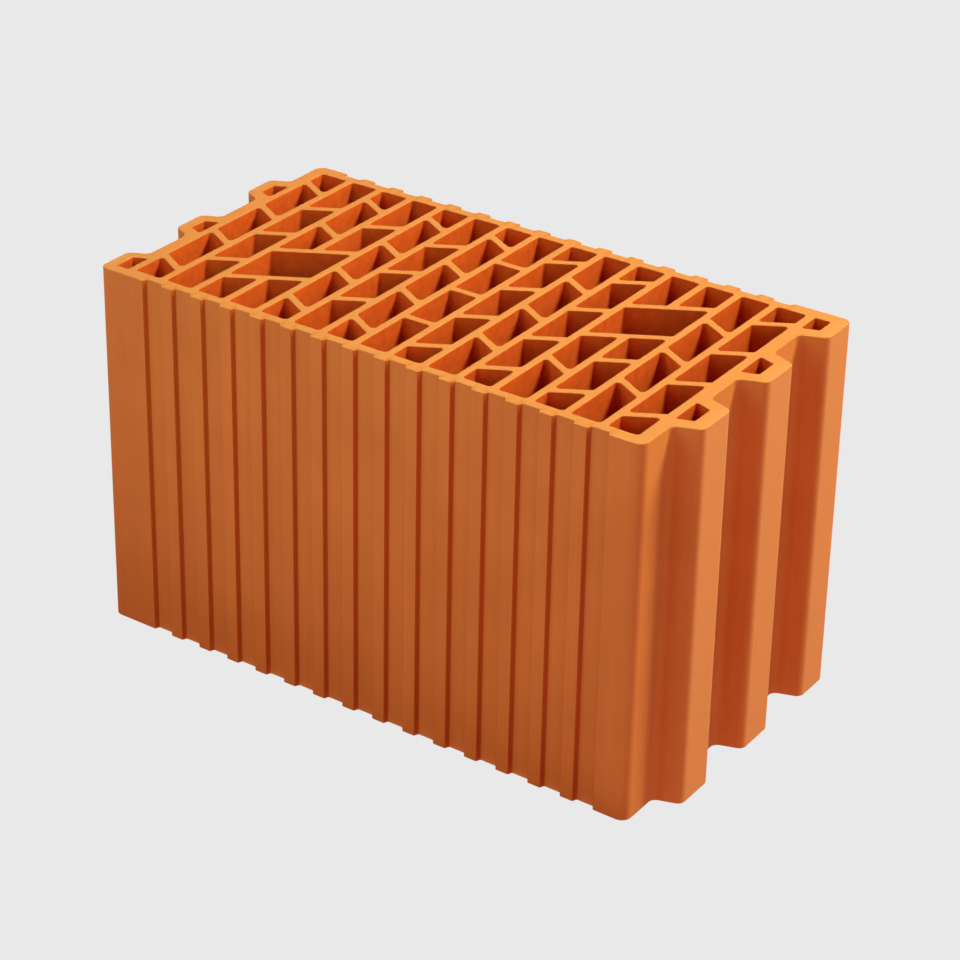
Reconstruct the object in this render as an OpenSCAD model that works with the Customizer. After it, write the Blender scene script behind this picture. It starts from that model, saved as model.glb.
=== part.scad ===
// Hollow fired-clay building block, extruded in one piece and cut to length by wire.
// Upright cells run right through it, the two ends carry tongues and grooves that
// interlock without mortar, and the two long faces are grooved as a key for plaster.
// X runs along the wall, Y through the wall, Z up. The block stands on its lower bed face.

/* [Block] */
// Length between the end faces, without the tongues
body_length = 363.75; // [300:0.25:420]
// Width of the block over the ribs, which is the thickness of the wall
width = 199.5; // [190:0.5:240]
// Height between the two bed faces
height = 238; // [50:1:300]
// Radius of the two corners that have no tongue
corner_r = 6.5; // [1:0.5:12]

/* [Cells] */
// Columns of cells along the block, an odd number
columns = 15; // [13:2:17]
// Rows of cells through the block, an even number
rows = 4; // [4:2:6]
// Wall between a long face and the cells, measured at the ribs
face_shell = 9.25; // [7:0.25:12]
// Wall between an end face and the cells
end_shell = 9; // [7:0.25:12]
// Thickness of the straight webs that cross the block
cross_web = 4.9; // [3:0.05:7]
// Thickness of the slanted webs between the cells of a column
slant_web = 4.9; // [3:0.05:7]
// Thickness of the level webs in the middle column
level_web = 4.95; // [3:0.05:7]
// Distance from one web to the next within a column
row_pitch = 46; // [42:0.1:47]
// Angle of the slanted webs to the long faces
slant = 30; // [15:1:35]
// Corner radius of the cells
cell_r = 2; // [0.5:0.25:4]

/* [Plaster grooves] */
// Grooves on each long face
grooves = 15; // [9:2:15]
// Plain strip of a long face between its corner and the nearest groove
plain_strip = 21.6; // [14:0.1:30]
// Width of a groove at the face
groove_mouth = 13.4; // [12:0.1:16]
// Width of a groove at its floor
groove_floor = 10.9; // [6:0.1:12]
// Depth of a groove
groove_depth = 2.9; // [1:0.05:4]
// Radius of the groove edges
groove_r = 0.8; // [0.2:0.1:1]

/* [Tongues of the right end] */
// Distance from one tongue to the next, on both ends
tongue_pitch = 68.3; // [64:0.1:71]
// How far the tongues stand out
right_depth = 16.1; // [12:0.1:20]
// Width of a tongue where it leaves the end face
right_base = 40.1; // [36:0.1:46]
// Width of a tongue at its tip
right_tip = 28.7; // [24:0.1:34]
// Wall between the tip and the cell inside the tongue
right_tip_wall = 9.5; // [6:0.5:12]
// Wall between a flank and the cell inside the tongue, measured along the end
right_flank_wall = 9.9; // [7:0.1:12]
// The same wall in the tongue that ends in the corner
right_corner_wall = 9.9; // [7:0.1:12]
// Wall between the long face and the cell in that tongue
right_face_wall = 9.2; // [7:0.1:12]
// Wall between the cell inside the tongue and the cells of the block
right_web = 5.8; // [4:0.1:8]

/* [Tongues of the left end] */
// How far the tongues stand out
left_depth = 11.8; // [9:0.1:15]
// Width of a tongue where it leaves the end face
left_base = 34.3; // [30:0.1:40]
// Width of a tongue at its tip
left_tip = 23.6; // [18:0.1:26]
// Wall between the tip and the cell inside the tongue
left_tip_wall = 7.5; // [5:0.5:9]
// Wall between a flank and the cell inside the tongue, measured along the end
left_flank_wall = 9.3; // [7:0.1:11]
// The same wall in the tongue that ends in the corner
left_corner_wall = 7.4; // [5:0.1:11]
// Wall between the long face and the cell in that tongue
left_face_wall = 7.9; // [6:0.1:12]
// Wall between the cell inside the tongue and the cells of the block
left_web = 4.8; // [4:0.1:8]

/* [Tongue edges and cells] */
// Radius of the tongue edges
tongue_r = 5.25; // [0.5:0.25:6]
// Radius of the hollow where a tongue meets the end face
root_r = 5; // [0.5:0.25:6]
// Radius of the two corners that carry a tongue
tongue_corner_r = 5.75; // [0.5:0.25:7]
// Corner radius of the cells inside the tongues
tongue_cell_r = 1.25; // [0.5:0.25:2.5]

/* [Hidden] */

// Straight pieces in the rounded corner of a cell: other corners have more or fewer, by their radius
cell_arc_steps = 3;
least_arc_steps = 2;
arc_slack_share = 0.1;

// The body sits off the middle of the whole length, because the left tongues are shorter
body_x = (left_depth - right_depth) / 2;
half_length = body_length / 2;
half_width = width / 2;

// The field of cells inside the shell
field_length = body_length - 2 * end_shell;
half_field = half_width - face_shell;
column_pitch = (field_length + cross_web) / columns;
cell_w = column_pitch - cross_web;
slope = tan(slant);
web_rise = slant_web / cos(slant);
last_column = (columns - 1) / 2;

// The grooves share out a long face between its two plain strips
groove_pitch = (body_length - 2 * plain_strip - groove_mouth) / (grooves - 1);

// The two hand grips: each takes up two columns and is one row high
grip_inner_column = 4;
grip_outer_column = grip_inner_column + 1;

// Each end's tongues: depth, base, tip, then the walls at the tip, to the block's cells and to the face
right_tongue = [right_depth, right_base, right_tip, right_tip_wall, right_web, right_face_wall];
left_tongue = [left_depth, left_base, left_tip, left_tip_wall, left_web, left_face_wall];

// The walls at the flanks of each end's three tongues: the last tongue ends in the corner
right_walls = [right_flank_wall, right_flank_wall, right_corner_wall];
left_walls = [left_flank_wall, left_flank_wall, left_corner_wall];

// Places of the tongues along an end, as shares of their pitch: the last one is cut by the corner
tongue_place_shares = [-0.75, 0.25, 1.25];
tongue_ys = [for (share = tongue_place_shares) share * tongue_pitch];

function unit(v) = v / norm(v);
function turned(points) = [for (p = points) [-p[0], -p[1], p[2]]];

// One corner of an outline, as an arc that meets both edges, no longer than half an edge
function arc_corner(before, corner, after, r) =
    let (
        a = unit(before - corner),
        b = unit(after - corner),
        half = acos(a * b) / 2,
        room = min(norm(before - corner), norm(after - corner)) / 2,
        radius = min(r, room * tan(half)),
        centre = corner + unit(a + b) * radius / sin(half),
        start = corner + a * radius / tan(half) - centre,
        from = atan2(start[1], start[0]),
        turn = sign(a[1] * b[0] - a[0] * b[1]),
        sweep = 2 * turn * acos(sin(half)),
        steps = max(least_arc_steps, ceil(cell_arc_steps * r / cell_r - arc_slack_share))
    )
    [for (i = [0 : steps])
        let (angle = from + sweep * i / steps)
        centre + radius * [cos(angle), sin(angle)]];

// An outline of [x, y, radius] points with every corner rounded
function rounded(points) =
    let (
        n = len(points),
        xy = [for (p = points) [p[0], p[1]]]
    )
    [for (i = [0 : n - 1])
        each arc_corner(xy[(i + n - 1) % n], xy[i], xy[(i + 1) % n], points[i][2])];

// The grooves of the front face, from left to right
function groove_points() =
    [for (i = [0 : grooves - 1])
        let (
            x = (i - (grooves - 1) / 2) * groove_pitch,
            floor_y = groove_depth - half_width
        )
        each [
            [x - groove_mouth / 2, -half_width, groove_r],
            [x - groove_floor / 2, floor_y, groove_r],
            [x + groove_floor / 2, floor_y, groove_r],
            [x + groove_mouth / 2, -half_width, groove_r]
        ]];

// One end with its tongues, from the front corner to the back one: the last tongue ends in the corner
function end_points(tongue) =
    let (
        tip_x = half_length + tongue[0],
        last = len(tongue_ys) - 1
    )
    [
        [half_length, -half_width, corner_r],
        for (i = [0 : last])
            let (y = tongue_ys[i])
            each [
                [half_length, y - tongue[1] / 2, root_r],
                [tip_x, y - tongue[2] / 2, tongue_r],
                if (i < last) [tip_x, y + tongue[2] / 2, tongue_r],
                if (i < last) [half_length, y + tongue[1] / 2, root_r]
            ],
        [tip_x, half_width, tongue_corner_r]
    ];

// The whole outline: the back and the left end are the front and the right end turned half round
function block_points() =
    concat(
        groove_points(),
        end_points(right_tongue),
        turned(groove_points()),
        turned(end_points(left_tongue))
    );

// A web is [height at its column's centre line, slope, half its thickness along Y]
function is_odd(m) = abs(m) % 2 == 1;
function column_slope(m) = sign(m) * (is_odd(m) ? slope : -slope);
function column_web(m, y) = [y, column_slope(m), m == 0 ? level_web / 2 : web_rise / 2];

// Ordinary columns: webs at whole rows in every other column, at half rows in the rest
function plain_webs(m) =
    let (count = is_odd(m) ? rows : rows - 1)
    [for (k = [0 : count - 1]) column_web(m, (k - (count - 1) / 2) * row_pitch)];

// The two webs that bound a hand grip run on in one line over both of its columns
function has_grip(m) = abs(m) == grip_inner_column || abs(m) == grip_outer_column;
function grip_webs(m) =
    let (
        lower = m < 0 ? -row_pitch : 0,
        shift = (m - sign(m) * grip_inner_column) * column_pitch * slope
    )
    [for (y = [lower, lower + row_pitch]) [y + shift, slope, web_rise / 2]];

// All webs of a column, from the front to the back: those next to a hand grip give way to it
function webs_before(m, y) = [for (w = plain_webs(m)) if (w[0] < y - row_pitch / 2) w];
function webs_after(m, y) = [for (w = plain_webs(m)) if (w[0] > y + row_pitch / 2) w];
function column_webs(m) =
    has_grip(m)
        ? let (grip = grip_webs(m))
          concat(webs_before(m, grip[0][0]), grip, webs_after(m, grip[1][0]))
        : plain_webs(m);
function grip_index(m) = has_grip(m) ? len(webs_before(m, grip_webs(m)[0][0])) + 1 : -1;

// The cell between two webs, from x0 to x1 of a column whose centre line is at x
function cell_points(x, x0, x1, below, above) =
    let (
        low = below[0] + below[2],
        high = above[0] - above[2]
    )
    [
        [x0, low + below[1] * (x0 - x), cell_r],
        [x1, low + below[1] * (x1 - x), cell_r],
        [x1, high + above[1] * (x1 - x), cell_r],
        [x0, high + above[1] * (x0 - x), cell_r]
    ];

// The cells of one column: the shell closes its two ends, and a hand grip is left to grip_points
function column_cells(m) =
    let (
        x = m * column_pitch,
        edges = concat([[-half_field, 0, 0]], column_webs(m), [[half_field, 0, 0]])
    )
    [for (i = [0 : len(edges) - 2])
        if (i != grip_index(m))
            cell_points(x, x - cell_w / 2, x + cell_w / 2, edges[i], edges[i + 1])];

// A hand grip on the left (side -1) or on the right (side 1)
function grip_points(side) =
    let (
        x = side * grip_inner_column * column_pitch,
        outer_x = side * grip_outer_column * column_pitch,
        webs = grip_webs(side * grip_inner_column)
    )
    cell_points(x, min(x, outer_x) - cell_w / 2, max(x, outer_x) + cell_w / 2, webs[0], webs[1]);

// The cells inside the tongues of the right end, with flanks parallel to the tongue's own
function tongue_cells(tongue, walls) =
    let (
        x0 = half_length - end_shell + tongue[4],
        x1 = half_length + tongue[0] - tongue[3],
        y_end = half_width - tongue[5],
        lean = (tongue[1] - tongue[2]) / 2 / tongue[0]
    )
    [for (i = [0 : len(tongue_ys) - 1])
        let (
            y = tongue_ys[i],
            reach = tongue[1] / 2 - walls[i],
            half0 = reach - lean * (x0 - half_length),
            half1 = reach - lean * (x1 - half_length)
        )
        [
            [x0, y - half0, tongue_cell_r],
            [x1, y - half1, tongue_cell_r],
            [x1, min(y + half1, y_end), tongue_cell_r],
            [x0, min(y + half0, y_end), tongue_cell_r]
        ]];

function all_cells() =
    concat(
        [for (m = [-last_column : last_column]) each column_cells(m)],
        [for (side = [-1, 1]) grip_points(side)],
        tongue_cells(right_tongue, right_walls),
        [for (cell = tongue_cells(left_tongue, left_walls)) turned(cell)]
    );

// The block: one extruded section, open through both bed faces
module brick() {
    color([0.86, 0.47, 0.2])
    translate([body_x, 0, 0])
    linear_extrude(height)
    difference() {
        polygon(rounded(block_points()));
        for (cell = all_cells()) {
            polygon(rounded(cell));
        }
    }
}

brick();
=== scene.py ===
# %% [markdown]
# A hollow clay wall block
#
# This lesson dresses one extruded wall block: a prism of fired clay with upright cells, tongues
# at both ends and shallow plaster grooves on its long faces. The shape comes ready made from the
# CAD frame. What is left for us is everything that makes it clay: softened edges, the faint lines
# that the extruder's mouthpiece drags along every wall, the wire-cut bed faces, and the colour.

# %% Load the frame
import math

import bpy
import numpy as np
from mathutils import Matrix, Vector, geometry, noise


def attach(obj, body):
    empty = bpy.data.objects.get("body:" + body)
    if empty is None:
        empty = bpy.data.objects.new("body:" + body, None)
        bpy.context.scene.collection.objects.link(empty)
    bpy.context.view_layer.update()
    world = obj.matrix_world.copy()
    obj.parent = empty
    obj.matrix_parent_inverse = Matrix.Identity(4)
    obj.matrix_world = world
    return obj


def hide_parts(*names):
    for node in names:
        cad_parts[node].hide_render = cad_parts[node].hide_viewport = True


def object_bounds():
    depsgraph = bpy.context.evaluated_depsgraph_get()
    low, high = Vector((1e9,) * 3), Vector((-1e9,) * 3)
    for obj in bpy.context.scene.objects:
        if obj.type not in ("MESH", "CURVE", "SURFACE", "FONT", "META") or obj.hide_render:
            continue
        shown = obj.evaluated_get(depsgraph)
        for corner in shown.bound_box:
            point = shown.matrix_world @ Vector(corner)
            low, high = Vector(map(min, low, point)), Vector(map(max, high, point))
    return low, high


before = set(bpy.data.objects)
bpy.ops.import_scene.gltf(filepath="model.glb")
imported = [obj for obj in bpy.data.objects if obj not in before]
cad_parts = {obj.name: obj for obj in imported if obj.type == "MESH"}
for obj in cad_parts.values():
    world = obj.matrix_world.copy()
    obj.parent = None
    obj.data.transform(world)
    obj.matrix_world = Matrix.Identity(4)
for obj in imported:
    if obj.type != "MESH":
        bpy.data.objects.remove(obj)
cad_low, cad_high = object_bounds()
BLOCK_HEIGHT = cad_high.z
print("the block measures", [round(v, 4) for v in cad_high - cad_low], "metres")

# %% [markdown]
# The camera
#
# The picture was taken from above the front right corner with a long lens, so the long edges
# nearly keep their directions. Where the upright edges and the two sets of level edges meet far
# outside the frame tells us where the lens axis points: above and left of the middle, so the frame
# was cropped off centre. A turned camera would lean the uprights, so the lens shift does it here.

# %% Place the camera
CAMERA_AZIMUTH = math.radians(36.645)
CAMERA_ELEVATION = math.radians(26.4051)
CAMERA_DISTANCE = 1.72098
CAMERA_ASIDE = -0.06062
CAMERA_LIFT = 0.07138
LENS_MM = 108.285
LENS_SHIFT = (0.12109, -0.13129)
BLOCK_MIDDLE = Vector((0, 0, BLOCK_HEIGHT / 2))


def add_camera():
    back = Vector((
        math.sin(CAMERA_AZIMUTH) * math.cos(CAMERA_ELEVATION),
        -math.cos(CAMERA_AZIMUTH) * math.cos(CAMERA_ELEVATION),
        math.sin(CAMERA_ELEVATION),
    ))
    right = (-back).cross(Vector((0, 0, 1))).normalized()
    up = right.cross(-back)
    camera = bpy.data.objects.new("camera", bpy.data.cameras.new("camera"))
    bpy.context.scene.collection.objects.link(camera)
    camera.location = BLOCK_MIDDLE + back * CAMERA_DISTANCE + right * CAMERA_ASIDE + up * CAMERA_LIFT
    camera.rotation_euler = (-back).to_track_quat("-Z", "Y").to_euler()
    camera.data.lens = LENS_MM
    camera.data.shift_x, camera.data.shift_y = LENS_SHIFT
    bpy.context.scene.camera = camera
    return camera


camera = add_camera()
print("camera at", [round(v, 3) for v in camera.location])

# %% [markdown]
# The section
#
# Every level of the block has the same section, so the section is worth having as plain curves.
# We could draw it again, but then a new size in the CAD would be lost on us. The flat top of the
# CAD solid holds it ready: an edge that belongs to only one of the top's triangles is a rim, and
# the rims chain up into closed loops, one round the outside and one round each cell. Walking a
# rim, the clay is always on the left hand.

# %% Read the rims off the top face
TOP_TOLERANCE = 1e-5
PLACE_DIGITS = 6


def top_edges(mesh, points, merged):
    on_top = points[:, 2] > points[:, 2].max() - TOP_TOLERANCE
    edges = {}
    mesh.calc_loop_triangles()
    for triangle in mesh.loop_triangles:
        corners = list(triangle.vertices)
        if on_top[corners].all():
            a, b, c = (merged[i] for i in corners)
            edges.update(dict.fromkeys(((a, b), (b, c), (c, a))))
    return edges


def read_rims(node):
    points = np.empty(len(node.data.vertices) * 3)
    node.data.vertices.foreach_get("co", points)
    points = points.reshape(-1, 3)
    numbers, merged = {}, []
    for x, y, _ in points:
        place = (round(x, PLACE_DIGITS), round(y, PLACE_DIGITS))
        merged.append(numbers.setdefault(place, len(numbers)))
    places = np.array(list(numbers))
    edges = top_edges(node.data, points, merged)
    rim = {start: end for start, end in edges if (end, start) not in edges}
    loops = []
    while rim:
        start, at = rim.popitem()
        loop = [start]
        while at != start:
            loop.append(at)
            at = rim.pop(at)
        loops.append(places[loop])
    return sorted(loops, key=len, reverse=True)


rims = read_rims(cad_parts["brick"])
print(len(rims), "rims with", sum(map(len, rims)), "points")

# %% [markdown]
# Rounder corners and finer walls
#
# The corners of the real block are smooth, and those of the CAD mesh are short chords. A
# subdivision modifier would round them, but it would pull the straight walls in as well. A Hermite
# curve through the chord ends, with the tangents that the neighbouring pieces give, puts the missing
# points back on the arc. The straight runs get a point every few millimetres, because the drag lines
# need points to move. Each new point keeps its normal, which points away from the clay.

# %% Resample the rims
LONGEST_CHORD = 0.0016
WALL_STEP = 0.003
ARC_PIECES = 3


def resample(loop):
    after = np.roll(loop, -1, axis=0) - loop
    lengths = np.linalg.norm(after, axis=1)
    headings = after / lengths[:, None]
    straight = lengths > LONGEST_CHORD
    tangents = headings + np.roll(headings, 1, axis=0)
    before_straight = np.roll(straight, 1)
    tangents[straight] = headings[straight]
    tangents[before_straight] = np.roll(headings, 1, axis=0)[before_straight]
    tangents /= np.linalg.norm(tangents, axis=1)[:, None]
    points, normals = [], []
    for i, length in enumerate(lengths):
        j = (i + 1) % len(loop)
        pieces = math.ceil(length / WALL_STEP) if straight[i] else ARC_PIECES
        for t in np.arange(pieces) / pieces:
            if straight[i]:
                place, way = loop[i] + after[i] * t, headings[i]
            else:
                place = (
                    (2 * t**3 - 3 * t**2 + 1) * loop[i] + (t**3 - 2 * t**2 + t) * tangents[i] * length
                    + (3 * t**2 - 2 * t**3) * loop[j] + (t**3 - t**2) * tangents[j] * length
                )
                way = (1 - t) * tangents[i] + t * tangents[j]
                way = way / np.linalg.norm(way)
            points.append(place)
            normals.append((way[1], -way[0]))
    return np.array(points), np.array(normals)


walls = [resample(loop) for loop in rims]
print("resampled to", sum(len(points) for points, _ in walls), "points")

# %% [markdown]
# The clay's own relief
#
# Stiff clay leaves the extruder with lines along its whole length, where grit in the mouthpiece
# scores the walls. They run upright and are a tenth of a millimetre deep. A displace modifier could
# cut them, but one number per point of the section does it with far fewer points, always into the
# clay and never out of it. The cutting wire then leaves a slightly soft arris at both beds. A bevel
# modifier would give it one radius, and here the radius wanders, as it does where crumbs drag.

# %% Score the walls and round the arrises
SCORE_DEPTH = 0.00014
MEAN_SCORE, FINE_SCORE, BROAD_SCORE = 0.5, 0.3, 0.2
FINE_WAVES, FINE_SEED = 420, 3.1
BROAD_WAVES, BROAD_SEED = 110, 8.7
ARRIS_RADIUS = 0.00055
ARRIS_WANDER = 0.25
ARRIS_WAVES, ARRIS_SEED = 70, 1.4
ARRIS_STEPS = 3
BELLY_LEVELS = 3


def wander(x, y, waves, seed):
    return noise.noise(Vector((x * waves, y * waves, seed)))


def score(x, y):
    fine = wander(x, y, FINE_WAVES, FINE_SEED)
    broad = wander(x, y, BROAD_WAVES, BROAD_SEED)
    return SCORE_DEPTH * (MEAN_SCORE + FINE_SCORE * fine + BROAD_SCORE * broad)


def arris_radius(x, y):
    return ARRIS_RADIUS * (1 + ARRIS_WANDER * wander(x, y, ARRIS_WAVES, ARRIS_SEED))


def ring_profile():
    steps = [math.radians(90) * k / ARRIS_STEPS for k in range(ARRIS_STEPS + 1)]
    lower = [(1 - math.sin(a), 0, 1 - math.cos(a)) for a in steps]
    belly = [(0, (k + 1) / (BELLY_LEVELS + 1), 0) for k in range(BELLY_LEVELS)]
    upper = [(inset, 1, -rise) for inset, _, rise in reversed(lower)]
    return lower + belly + upper


profile = ring_profile()
print(len(profile), "rings from bed to bed")

# %% [markdown]
# The skin
#
# The real block is one piece, so its skin is one closed mesh. It could be the CAD mesh with
# modifiers, but that has no points up its walls to work on. So the rings of all rims, stacked from
# bed to bed, make the walls as quads. The two beds are flat plates with the cells left out: a
# constrained Delaunay triangulation fills everything between the rims, and the triangles whose
# middle lies in a cell are dropped. Weighted normals keep the beds flat right up to the arris.
#
# Three float attributes remember which points sit on an arris, on the flank of a plaster groove and
# on the tip of a tongue, so that the finish can find them. A flank lies in a long face, well away
# from both ends, and yet looks along the wall. A tip lies at the very end and faces out.

# %% Find the groove flanks and the tongue tips
GROOVE_REACH = 0.004
END_REACH = 0.03
LEAST_TURN = 0.5
TIP_REACH = 0.002
TIP_FADE = (0.75, 0.97)


def on_groove_flank(points, normals):
    in_long_face = np.abs(points[:, 1]) > cad_high.y - GROOVE_REACH
    off_the_ends = np.abs(points[:, 0]) < cad_high.x - END_REACH
    looks_along = np.abs(normals[:, 0]) > LEAST_TURN
    return (in_long_face & off_the_ends & looks_along).astype(float)


def on_tongue_tip(points, normals):
    at_the_end = np.abs(points[:, 0]) > cad_high.x - TIP_REACH
    faces_out = np.interp(np.sign(points[:, 0]) * normals[:, 0], TIP_FADE, (0, 1))
    return at_the_end * faces_out


print(int(on_groove_flank(*walls[0]).sum()), "points of the outline are on groove flanks,")
print(int(on_tongue_tip(*walls[0]).sum()), "on tips of tongues")

# %% Fill the beds
TRIANGLES_INSIDE = 1
MERGE_DISTANCE = 1e-9


def inside(points, loop):
    crossed = np.zeros(len(points), bool)
    for (x0, y0), (x1, y1) in zip(loop, np.roll(loop, -1, axis=0)):
        spans = (y0 > points[:, 1]) != (y1 > points[:, 1])
        if spans.any():
            at = x0 + (points[spans, 1] - y0) * (x1 - x0) / (y1 - y0)
            crossed[np.flatnonzero(spans)[points[spans, 0] < at]] ^= True
    return crossed


def bed_triangles(loops):
    places = [Vector(p) for loop in loops for p in loop]
    edges, first = [], 0
    for loop in loops:
        count = len(loop)
        edges += [(first + i, first + (i + 1) % count) for i in range(count)]
        first += count
    made = geometry.delaunay_2d_cdt(places, edges, [], TRIANGLES_INSIDE, MERGE_DISTANCE)
    assert len(made[0]) == len(places)
    triangles = np.array(made[2])
    middles = np.array([tuple(p) for p in made[0]])[triangles].mean(axis=1)
    keep = inside(middles, loops[0])
    for loop in loops[1:]:
        keep &= ~inside(middles, loop)
    return triangles[keep]


print("the beds leave out", len(walls) - 1, "cells")

# %% Stack the rings
OUTER, CELL, WIRE_CUT = range(3)


def stack_rings(points, normals):
    scores = np.array([score(x, y) for x, y in points])
    radii = np.array([arris_radius(x, y) for x, y in points])
    rings = []
    for inset, share, rise in profile:
        flat = points - normals * (scores + radii * inset)[:, None]
        rings.append(np.column_stack([flat, BLOCK_HEIGHT * share + radii * rise]))
    return rings


def wall_quads(count):
    here, following, first = np.arange(count), np.empty(count, int), 0
    for loop, _ in walls:
        following[first:first + len(loop)] = first + (np.arange(len(loop)) + 1) % len(loop)
        first += len(loop)
    wall_finish = np.where(here < len(walls[0][0]), OUTER, CELL).tolist()
    quads, finishes = [], []
    for level in range(len(profile) - 1):
        low, high = level * count, (level + 1) * count
        quads += np.column_stack([low + here, low + following, high + following, high + here]).tolist()
        on_arris = level < ARRIS_STEPS - 1 or level >= len(profile) - ARRIS_STEPS
        finishes += [WIRE_CUT] * count if on_arris else wall_finish
    return quads, finishes


print("finishes", (OUTER, CELL, WIRE_CUT), "are outer walls, cell walls and beds")

# %% Build the skin
BED_WEIGHT = 100


def mark_points(mesh, name, values):
    mesh.attributes.new(name, "FLOAT", "POINT").data.foreach_set("value", values)


def skin_mesh(name):
    points = np.vstack([points for points, _ in walls])
    normals = np.vstack([normals for _, normals in walls])
    rings = stack_rings(points, normals)
    faces, finishes = wall_quads(len(points))
    bed = bed_triangles(np.split(rings[-1][:, :2], np.cumsum([len(p) for p, _ in walls])[:-1]))
    faces += (bed + (len(rings) - 1) * len(points)).tolist() + bed[:, ::-1].tolist()
    finishes += [WIRE_CUT] * (2 * len(bed))
    mesh = bpy.data.meshes.new(name)
    mesh.from_pydata(np.vstack(rings).tolist(), [], faces)
    rounded = [1.0 if share in (0, 1) and inset > 0 else 0.0 for inset, share, _ in profile]
    mark_points(mesh, "arris", np.repeat(rounded, len(points)))
    mark_points(mesh, "flank", np.tile(on_groove_flank(points, normals), len(rings)))
    mark_points(mesh, "tip", np.tile(on_tongue_tip(points, normals), len(rings)))
    mesh.polygons.foreach_set("material_index", finishes)
    mesh.polygons.foreach_set("use_smooth", [True] * len(faces))
    mesh.update()
    return mesh


def build_skin(name):
    skin = bpy.data.objects.new(name, skin_mesh(name))
    bpy.context.scene.collection.objects.link(skin)
    flatten = skin.modifiers.new("flat beds", "WEIGHTED_NORMAL")
    flatten.weight = BED_WEIGHT
    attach(skin, "root")
    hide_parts("brick")
    return skin


skin = build_skin("clay_block")
skin.data.calc_loop_triangles()
print("the skin has", len(skin.data.loop_triangles), "triangles")

# %% [markdown]
# Node groups for clay
#
# All finishes of the block are the same clay, all carry tool marks, and all have arrises worn by
# handling.
# Painted pictures could show that, but they would need seams in every cell. Noise in the block's own
# space has none, so there are three shader groups made of it. The clay body gives colour, roughness
# and grain. The tool marks are lines from the mouthpiece on the walls and from the wire on the beds:
# noise stretched along one direction, and the stretch is an input, so that one group draws both kinds
# of line. The third group takes a colour and changes it where the three masks of the skin say so: it
# deepens the groove flanks as painted shade, pales the tongue tips as a painted sheen, and pales the
# worn arrises.

# %% Helpers for node trees
def new_group(name, inputs, outputs):
    group = bpy.data.node_groups.new(name, "ShaderNodeTree")
    for title, kind, value in inputs:
        group.interface.new_socket(title, in_out="INPUT", socket_type=kind).default_value = value
    for title, kind in outputs:
        group.interface.new_socket(title, in_out="OUTPUT", socket_type=kind)
    return group, group.nodes.new("NodeGroupInput"), group.nodes.new("NodeGroupOutput")


def add_node(tree, kind, settings=(), values=()):
    node = tree.nodes.new(kind)
    for key, value in dict(settings).items():
        setattr(node, key, value)
    for key, value in dict(values).items():
        node.inputs[key].default_value = value
    return node


def feed(tree, socket, value):
    if isinstance(value, (int, float, tuple)):
        socket.default_value = value
    else:
        tree.links.new(value, socket)


def add_math(tree, operation, first, second):
    node = add_node(tree, "ShaderNodeMath", {"operation": operation})
    for socket, value in zip(node.inputs, (first, second)):
        feed(tree, socket, value)
    return node.outputs["Value"]


# A Mix node has sockets for every type of data, and those for colours have these places.
MIX_INPUTS, MIX_RESULT = (0, 6, 7), 2


def add_mix(tree, share, first, second, blend="MIX"):
    node = add_node(tree, "ShaderNodeMix", {"data_type": "RGBA", "blend_type": blend})
    for place, value in zip(MIX_INPUTS, (share, first, second)):
        feed(tree, node.inputs[place], value)
    return node.outputs[MIX_RESULT]


def add_range(tree, value, low, high, to_low=0.0, to_high=1.0):
    span = {"From Min": low, "From Max": high, "To Min": to_low, "To Max": to_high}
    node = add_node(tree, "ShaderNodeMapRange", {}, span)
    tree.links.new(value, node.inputs["Value"])
    return node.outputs["Result"]


print("node helpers ready")

# %% The clay body
PATCH_DETAIL, GRAIN_DETAIL, GRAIN_ROUGHNESS = 3.0, 2.0, 0.55
PATCH_SHARE = 0.75
TONE_SPAN = (0.36, 0.64)
SPECKS_PER_METRE = 210.0
PIT_EDGE = (0.08, 0.14)
PIT_CHANCE = (0.93, 0.96)
PIT_COLOUR, PIT_DEPTH = (0.16, 0.05, 0.02, 1), 0.2
GRAIN_SPAN = (0.3, 0.7)
ROUGHNESS_SPAN = (0.78, 0.94)


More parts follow.
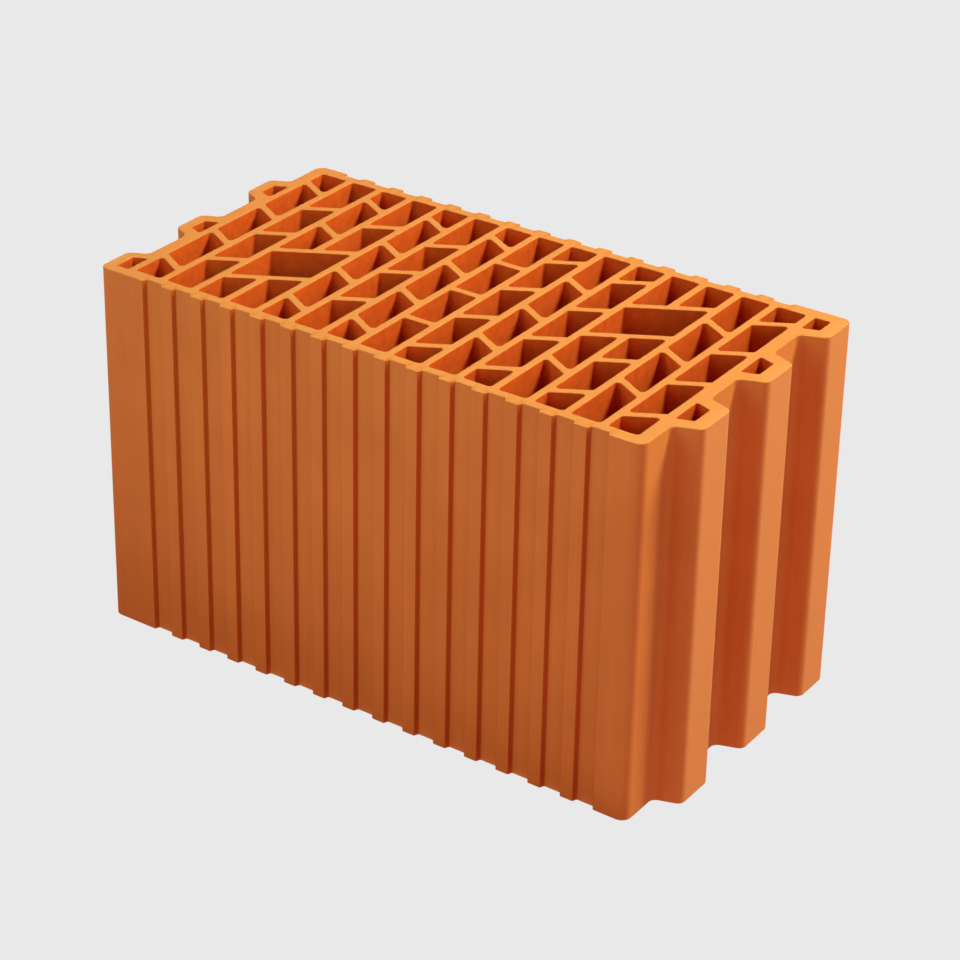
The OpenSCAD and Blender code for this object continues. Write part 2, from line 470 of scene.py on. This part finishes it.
def clay_body_group():
    group, given, made = new_group(
        "clay body",
        [
            ("Coordinates", "NodeSocketVector", (0, 0, 0)),
            ("Pale", "NodeSocketColor", (0.7, 0.3, 0.1, 1)),
            ("Deep", "NodeSocketColor", (0.5, 0.2, 0.05, 1)),
            ("Patch size", "NodeSocketFloat", 0.07),
            ("Grain size", "NodeSocketFloat", 0.0012),
        ],
        [("Colour", "NodeSocketColor"), ("Roughness", "NodeSocketFloat"), ("Height", "NodeSocketFloat")],
    )
    link = group.links.new

    def grains(size, detail):
        scale = add_math(group, "DIVIDE", 1.0, size)
        look = {"Detail": detail, "Roughness": GRAIN_ROUGHNESS}
        node = add_node(group, "ShaderNodeTexNoise", {}, look)
        link(given.outputs["Coordinates"], node.inputs["Vector"])
        link(scale, node.inputs["Scale"])
        return node.outputs["Fac"]

    def pits():
        look = {"Scale": SPECKS_PER_METRE, "Randomness": 1.0}
        specks = add_node(group, "ShaderNodeTexVoronoi", {"feature": "F1"}, look)
        link(given.outputs["Coordinates"], specks.inputs["Vector"])
        rare = add_node(group, "ShaderNodeTexWhiteNoise", {"noise_dimensions": "3D"})
        link(specks.outputs["Position"], rare.inputs["Vector"])
        near = add_range(group, specks.outputs["Distance"], *PIT_EDGE, 1.0, 0.0)
        return add_math(group, "MULTIPLY", near, add_range(group, rare.outputs["Value"], *PIT_CHANCE))

    patches = add_math(group, "MULTIPLY", grains(given.outputs["Patch size"], PATCH_DETAIL), PATCH_SHARE)
    grain = grains(given.outputs["Grain size"], GRAIN_DETAIL)
    pit = pits()
    tone = add_math(group, "ADD", patches, add_math(group, "MULTIPLY", grain, 1 - PATCH_SHARE))
    tone = add_range(group, tone, *TONE_SPAN)
    colour = add_mix(group, tone, given.outputs["Deep"], given.outputs["Pale"])
    colour = add_mix(group, add_math(group, "MULTIPLY", pit, PIT_DEPTH), colour, PIT_COLOUR)
    link(colour, made.inputs["Colour"])
    link(add_range(group, grain, *GRAIN_SPAN, *ROUGHNESS_SPAN), made.inputs["Roughness"])
    link(add_math(group, "SUBTRACT", grain, pit), made.inputs["Height"])
    return group


clay_body = clay_body_group()
print("group", clay_body.name, "with", len(clay_body.nodes), "nodes")

# %% The tool marks
LINE_KINDS = (("Lines", 1.0, 2.0), ("Broad lines", 6.0, 1.0))
LINE_ROUGHNESS = 0.6
LINE_SPAN = (0.25, 0.75)


def tool_marks_group():
    group, given, made = new_group(
        "tool marks",
        [
            ("Coordinates", "NodeSocketVector", (0, 0, 0)),
            ("Stretch", "NodeSocketVector", (1, 1, 1)),
            ("Width", "NodeSocketFloat", 0.002),
        ],
        [("Lines", "NodeSocketFloat"), ("Broad lines", "NodeSocketFloat")],
    )
    link = group.links.new
    squeezed = add_node(group, "ShaderNodeVectorMath", {"operation": "MULTIPLY"})
    link(given.outputs["Coordinates"], squeezed.inputs[0])
    link(given.outputs["Stretch"], squeezed.inputs[1])
    for title, times, detail in LINE_KINDS:
        scale = add_math(group, "DIVIDE", 1.0 / times, given.outputs["Width"])
        look = {"Detail": detail, "Roughness": LINE_ROUGHNESS}
        lines = add_node(group, "ShaderNodeTexNoise", {}, look)
        link(squeezed.outputs[0], lines.inputs["Vector"])
        link(scale, lines.inputs["Scale"])
        link(add_range(group, lines.outputs["Fac"], *LINE_SPAN), made.inputs[title])
    return group


tool_marks = tool_marks_group()
print("group", tool_marks.name, "with", len(tool_marks.nodes), "nodes")

# %% The painted shade, painted sheen and wear
# Painted shade: the groove flanks take this deeper colour in place of the shade that falls into the
# grooves.
PAINTED_SHADE_CLAY = (0.47, 0.1, 0.011, 1)
# Painted sheen: the tongue tips take this paler colour in place of the sheen of light on them.
PAINTED_SHEEN_CLAY = (0.59, 0.21, 0.085, 1)


def shade_sheen_and_wear_group():
    group, given, made = new_group(
        "painted shade, sheen and wear",
        [
            ("Colour", "NodeSocketColor", (0.6, 0.2, 0.05, 1)),
            ("Arris colour", "NodeSocketColor", (0.7, 0.3, 0.1, 1)),
            ("Arris share", "NodeSocketFloat", 0.4),
            ("Flank", "NodeSocketFloat", 0.0),
            ("Tip", "NodeSocketFloat", 0.0),
            ("Arris", "NodeSocketFloat", 0.0),
        ],
        [("Colour", "NodeSocketColor")],
    )
    # The flank mask lays painted shade on the groove flanks, the tip mask a painted sheen on the tongue
    # tips; the arris mask pales the arrises worn in handling.
    colour = add_mix(group, given.outputs["Flank"], given.outputs["Colour"], PAINTED_SHADE_CLAY)
    colour = add_mix(group, given.outputs["Tip"], colour, PAINTED_SHEEN_CLAY)
    share = add_math(group, "MULTIPLY", given.outputs["Arris"], given.outputs["Arris share"])
    group.links.new(add_mix(group, share, colour, given.outputs["Arris colour"]), made.inputs["Colour"])
    return group


shade_sheen_and_wear = shade_sheen_and_wear_group()
print("group", shade_sheen_and_wear.name, "with", len(shade_sheen_and_wear.nodes), "nodes")

# %% [markdown]
# The three finishes
#
# The outer walls kept the smooth skin that the mouthpiece pressed on them, with upright lines, and
# have been handled since. The walls of the cells have the same skin with a finer mottle, and their
# colour is deeper and redder than that of the outer walls: painted shade, the shade inside the cells
# laid into the colour. The flanks of the plaster grooves are painted as deep, which is painted shade
# as well. The beds were cut by wire through the grainy inside of the clay: they are paler and rougher,
# and their lines run the way the wire went. The tips of the tongues are paler: a painted sheen. The
# arrises are rubbed in handling and in the stack, and paler for it. One material with masks could
# hold all of this. Three of them, from one function with other values, are easier to read and tune.

# %% Make the finishes
CLAY_GLOSS = 0.25
LINES_SPAN = (0.4, 1.6)
GRAIN_HEIGHT = 0.6
BUMP_DISTANCE = 0.0002
UPRIGHT = (1, 1, 0.012)
ALONG_THE_WIRE = (1, 0.05, 1)


def add_group(tree, group, values):
    return add_node(tree, "ShaderNodeGroup", {"node_tree": group}, values)


def clay_finish(name, pale, deep, patch, stretch, line_width, line_tone, bump, arris_share):
    material = bpy.data.materials.new(name)
    material.use_nodes = True
    tree = material.node_tree
    link = tree.links.new
    shader = tree.nodes["Principled BSDF"]
    shader.inputs["Specular IOR Level"].default_value = CLAY_GLOSS
    where = add_node(tree, "ShaderNodeTexCoord")
    body = add_group(tree, clay_body, {"Pale": pale, "Deep": deep, "Patch size": patch})
    marks = add_group(tree, tool_marks, {"Stretch": stretch, "Width": line_width})
    shade_sheen_wear = add_group(tree, shade_sheen_and_wear, {"Arris colour": pale, "Arris share": arris_share})
    for group in (body, marks):
        link(where.outputs["Object"], group.inputs["Coordinates"])
    # These masks bring painted shade to the groove flanks, a painted sheen to the tongue tips and the
    # paler worn arrises.
    for title in ("flank", "tip", "arris"):
        mask = add_node(tree, "ShaderNodeAttribute", {"attribute_name": title})
        link(mask.outputs["Fac"], shade_sheen_wear.inputs[title.capitalize()])
    lines = add_math(tree, "ADD", marks.outputs["Lines"], marks.outputs["Broad lines"])
    tone = add_range(tree, lines, *LINES_SPAN, 1 - line_tone, 1 + line_tone)
    link(add_mix(tree, 1.0, body.outputs["Colour"], tone, "MULTIPLY"), shade_sheen_wear.inputs["Colour"])
    link(shade_sheen_wear.outputs["Colour"], shader.inputs["Base Color"])
    link(body.outputs["Roughness"], shader.inputs["Roughness"])
    grain = add_math(tree, "MULTIPLY", body.outputs["Height"], GRAIN_HEIGHT)
    relief = add_node(tree, "ShaderNodeBump", {}, {"Strength": bump, "Distance": BUMP_DISTANCE})
    link(add_math(tree, "ADD", grain, lines), relief.inputs["Height"])
    link(relief.outputs["Normal"], shader.inputs["Normal"])
    return material


outer_face = clay_finish(
    "outer face clay", pale=(0.62, 0.2, 0.06, 1), deep=(0.56, 0.17, 0.048, 1), patch=0.07,
    stretch=UPRIGHT, line_width=0.0016, line_tone=0.035, bump=0.2, arris_share=0.4,
)
# Painted shade: the cell walls get a deeper, redder copy of the outer clay in place of the shade inside
# the cells.
cell_wall = clay_finish(
    "cell wall clay", pale=(0.67, 0.094, 0.0088, 1), deep=(0.56, 0.07, 0.0062, 1), patch=0.006,
    stretch=UPRIGHT, line_width=0.0016, line_tone=0.03, bump=0.3, arris_share=0.4,
)
wire_cut = clay_finish(
    "wire-cut clay", pale=(0.56, 0.182, 0.064, 1), deep=(0.512, 0.158, 0.0545, 1), patch=0.07,
    stretch=ALONG_THE_WIRE, line_width=0.0012, line_tone=0.03, bump=0.3, arris_share=0.5,
)
for finish in (outer_face, cell_wall, wire_cut):
    skin.data.materials.append(finish)
print("finishes:", [m.name for m in skin.data.materials])

# %% [markdown]
# The floor
#
# The block stands on a plain pale floor that fills the whole picture, and no shadow lies on that
# floor. It works like a light table: the floor shines evenly by itself, and the lamps are linked to
# the block alone. Four walls of the same make stand far out, so that a low camera sees no horizon.
# Only the camera sees them: they take no part in the light. A real block would shade the floor
# before it and so get less light from there. That shade is a plate of its own, as long as the main
# light would cast it, which the block sees and the camera does not.

# %% Lay the floor
FLOOR_HALF = 6.0
FLOOR_DROP = 0.0001
BACKDROP_HEIGHT = 9.0
FLOOR_SHINE = 0.815


def shining_paint(name, colour, strength):
    paint = bpy.data.materials.new(name)
    paint.use_nodes = True
    shader = paint.node_tree.nodes["Principled BSDF"]
    shader.inputs["Base Color"].default_value = (0, 0, 0, 1)
    shader.inputs["Specular IOR Level"].default_value = 0.0
    shader.inputs["Emission Color"].default_value = colour
    shader.inputs["Emission Strength"].default_value = strength
    return paint


def add_stage(name, points, faces, paint):
    mesh = bpy.data.meshes.new(name)
    mesh.from_pydata(points, [], faces)
    mesh.materials.append(paint)
    plate = bpy.data.objects.new(name, mesh)
    bpy.context.scene.collection.objects.link(plate)
    return plate


corners = [(x * FLOOR_HALF, y * FLOOR_HALF) for x, y in ((-1, -1), (1, -1), (1, 1), (-1, 1))]
low_corners = [(x, y, -FLOOR_DROP) for x, y in corners]
high_corners = [(x, y, BACKDROP_HEIGHT) for x, y in corners]
backdrop_faces = [(k, (k + 1) % 4, 4 + (k + 1) % 4, 4 + k) for k in range(4)]
pale_paint = shining_paint("pale floor", (1, 1, 1, 1), FLOOR_SHINE)
floor = add_stage("floor", low_corners, [(0, 1, 2, 3)], pale_paint)
floor.visible_diffuse = False
backdrop = add_stage("backdrop", low_corners + high_corners, backdrop_faces, pale_paint)
backdrop.visible_diffuse = False
backdrop.visible_glossy = False
backdrop.visible_shadow = False
print("floor", 2 * FLOOR_HALF, "metres across, backdrop", BACKDROP_HEIGHT, "metres high")

# %% Shade the floor before the block
SHADE_REACH = 0.113
# The shade plate glows a dark red: painted light standing in for the warm light that the shaded floor
# throws back onto the block.
SHADE_GLOW = (0.42, 0.03, 0.0, 1)


def shade_outline():
    x, y, far = cad_high.x, cad_high.y, SHADE_REACH
    block_side = [(x, -y), (-x, -y), (-x, y)]
    far_side = [(px - far, py - far) for px, py in reversed(block_side)]
    return [(px, py, -FLOOR_DROP / 2) for px, py in block_side + far_side]


outline = shade_outline()
shade_paint = shining_paint("shaded floor", SHADE_GLOW, 1.0)
shade = add_stage("shade", outline, [range(len(outline))], shade_paint)
shade.visible_camera = False
shade.visible_glossy = False
print("shade reaches", SHADE_REACH, "metres from the block")

# %% [markdown]
# The light
#
# Three soft boxes light the block, rather than a sun lamp, because their shadows end softly. The
# strong one hangs high behind the right end and reaches the top, the tips of the tongues and the left
# walls of the cells. A nearer one lights the long front face and a weak one the right end. The room
# gives the rest, and its ceiling is dark, so that the cells lose their light with depth. A photograph
# presses its brightest reds together, so lit clay comes out yellower and shaded clay redder than the
# eye sees it. Lamps with less red, in a room with more of it, give the same.

# %% Hang the lights
lit_block = bpy.data.collections.new("lit block")
lit_block.objects.link(skin)


def add_soft_box(name, power, colour, azimuth, elevation, reach, size):
    lamp = bpy.data.lights.new(name, "AREA")
    lamp.energy = power
    lamp.color = colour
    lamp.size = size
    light = bpy.data.objects.new(name, lamp)
    bpy.context.scene.collection.objects.link(light)
    turn, rise = math.radians(azimuth), math.radians(elevation)
    towards = Vector((math.cos(turn) * math.cos(rise), math.sin(turn) * math.cos(rise), math.sin(rise)))
    light.location = BLOCK_MIDDLE + towards * reach
    light.rotation_euler = towards.to_track_quat("Z", "Y").to_euler()
    light.light_linking.receiver_collection = lit_block


add_soft_box(
    "main light", power=69.5, colour=(0.86, 1.0, 0.54),
    azimuth=45, elevation=56, reach=2.0, size=0.5,
)
add_soft_box(
    "front light", power=2.85, colour=(0.46, 1.0, 0.7),
    azimuth=-104, elevation=36, reach=0.85, size=0.5,
)
add_soft_box(
    "end light", power=2.4, colour=(0.15, 1.0, 0.9),
    azimuth=0, elevation=20, reach=2.0, size=0.5,
)
bpy.context.scene.view_settings.view_transform = "Standard"

# %% Fill the room
ROOM_COLOUR = (1.0, 0.443, 0.2, 1)
ROOM_STRENGTH = 0.87
CEILING_STRENGTH = 0.0
CEILING_SPAN = (0.4, 0.65)


def add_room():
    world = bpy.data.worlds.new("room")
    world.use_nodes = True
    tree = world.node_tree
    where = add_node(tree, "ShaderNodeTexCoord")
    parts = add_node(tree, "ShaderNodeSeparateXYZ")
    tree.links.new(where.outputs["Generated"], parts.inputs[0])
    strength = add_range(tree, parts.outputs["Z"], *CEILING_SPAN, ROOM_STRENGTH, CEILING_STRENGTH)
    tree.nodes["Background"].inputs["Color"].default_value = ROOM_COLOUR
    tree.links.new(strength, tree.nodes["Background"].inputs["Strength"])
    return world


bpy.context.scene.world = add_room()
print("room:", bpy.context.scene.world.name)
